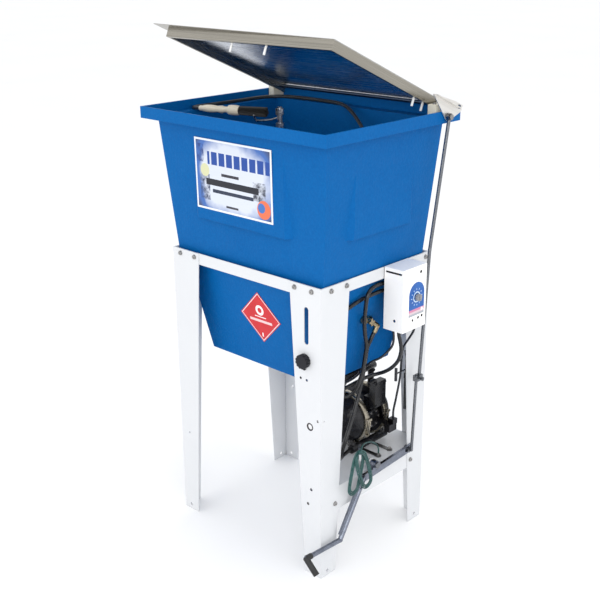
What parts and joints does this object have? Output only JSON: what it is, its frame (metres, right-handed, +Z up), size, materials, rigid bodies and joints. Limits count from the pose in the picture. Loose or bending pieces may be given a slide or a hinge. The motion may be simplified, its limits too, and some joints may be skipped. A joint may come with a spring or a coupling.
{
  "type": "parts washer tank",
  "caption": "Free-standing parts washer: tapered tank on a sheet-metal stand, hinged lid worked by a foot pedal, air-driven diaphragm pump and control box.",
  "frame": {"origin": "centre of the washer's overall box, on the floor", "axes": "+X along the front towards the control box side, +Y from the front to the hinge side, +Z up"},
  "size_m": [0.6536, 0.5358, 1.3547],
  "materials": {
    "tank_plastic": "matt, slightly pebbled",
    "white_powder_coat": "powder coated",
    "lid_steel": "brushed",
    "plain_steel": "plain",
    "fixing_steel": "zinc plated",
    "rod_steel": "drawn",
    "hinge_block_plastic": "satin",
    "peg_plastic": "satin",
    "lever_paint": "semi gloss",
    "grip_rubber": "matt",
    "pump_plastic": "satin",
    "pump_centre": "cast",
    "clamp_steel": "passivated",
    "diaphragm_rubber": "matt",
    "hose_rubber": "satin",
    "tube_plastic": "satin",
    "brass": "satin",
    "knob_plastic": "satin",
    "dial_knob_plastic": "satin",
    "label_vinyl": "satin",
    "hazard_vinyl": "satin",
    "decal_vinyl": "satin",
    "brush_plastic": "satin",
    "bristle": "matt",
    "wash_hose": "satin",
    "cable_green": "satin"
  },
  "bodies": {
    "stand": {"tank": "tank_plastic", "tank_label": "label_vinyl", "hazard_diamond": "hazard_vinyl", "front_left_leg": "white_powder_coat", "front_right_leg": "white_powder_coat", "rear_left_leg": "white_powder_coat", "rear_right_leg": "white_powder_coat", "front_rail": "white_powder_coat", "rear_rail": "white_powder_coat", "left_rail": "white_powder_coat", "right_rail": "white_powder_coat", "rail_bolts": "fixing_steel", "pump_shelf": "white_powder_coat", "shelf_bolts": "fixing_steel", "hinge_blocks": "hinge_block_plastic", "block_screws": "fixing_steel", "pedal_bracket": "white_powder_coat", "pedal_pivot_pin": "fixing_steel", "pump_body": "pump_centre", "pump_front_chamber": "pump_plastic", "pump_rear_chamber": "pump_plastic", "pump_band_clamps": "clamp_steel", "pump_diaphragms": "diaphragm_rubber", "pump_manifolds": "pump_plastic", "pump_muffler": "pump_plastic", "pump_feet": "clamp_steel", "pump_bolts": "fixing_steel", "control_box": "white_powder_coat", "control_decal": "decal_vinyl", "timer_valve": "plain_steel", "air_inlet_fitting": "brass", "air_valve_body": "brass", "drain_valve": "brass", "suction_hose": "hose_rubber", "discharge_hose": "hose_rubber", "air_hoses": "tube_plastic", "hose_fittings": "brass", "spray_riser": "plain_steel", "brush_handle": "brush_plastic", "brush_bristles": "bristle", "brush_hose": "wash_hose", "earth_cable_hook": "plain_steel", "earth_cable_lead": "cable_green", "earth_cable_hank": "cable_green", "air_whip": "hose_rubber"},
    "lid": {"hinge_shaft": "plain_steel", "lid_sheet": "lid_steel", "lid_skirt": "lid_steel", "lid_guide_pegs": "peg_plastic", "lid_crank": "lid_steel", "crank_pin": "fixing_steel"},
    "rod": {"upper_rod": "rod_steel", "rod_coupler": "plain_steel", "lower_rod": "rod_steel"},
    "pedal": {"pedal_lever": "lever_paint", "pedal_grip": "grip_rubber"},
    "timer_dial": {"timer_knob": "dial_knob_plastic"},
    "air_knob": {"air_valve_knob": "knob_plastic"},
    "drain_tap": {"drain_handle": "brass"},
    "shaft": {"pump_shaft": "plain_steel"}
  },
  "joints": [
    {"name": "lid_hinge", "type": "hinge", "parent": "stand", "child": "lid", "pos_m": [-0.01175, 0.25007, 1.161], "axis": [-1, 0, 0], "range_deg": [-23.4, 24]},
    {"name": "rod_pivot", "type": "hinge", "parent": "lid", "child": "rod", "pos_m": [0.30025, 0.20273, 1.14226], "axis": [-1, 0, 0], "range_deg": [-24.76, 24.15]},
    {"name": "pedal_pivot", "type": "hinge", "parent": "stand", "child": "pedal", "pos_m": [0.26525, 0.00407, 0.258], "axis": [1, 0, 0], "range_deg": [-7.5, 7.69]},
    {"name": "timer_turn", "type": "hinge", "parent": "stand", "child": "timer_dial", "pos_m": [0.31825, 0.09707, 0.708], "axis": [1, 0, 0], "range_deg": [-300, 0]},
    {"name": "air_valve_turn", "type": "hinge", "parent": "stand", "child": "air_knob", "pos_m": [0.20125, -0.19693, 0.595], "axis": [0, -1, 0], "range_deg": [0, 270]},
    {"name": "drain_turn", "type": "hinge", "parent": "stand", "child": "drain_tap", "pos_m": [0.24125, 0.00707, 0.648], "axis": [1, 0, 0], "range_deg": [0, 360]},
    {"name": "pump_stroke", "type": "slide", "parent": "stand", "child": "shaft", "axis": [0, 1, 0], "range_m": [-0.0025, 0.0025]}
  ],
  "couplings": [
    {"joint": "rod_pivot", "follows": "lid_hinge", "ratio": -1.0235},
    {"joint": "pedal_pivot", "follows": "lid_hinge", "ratio": 0.3119}
  ]
}
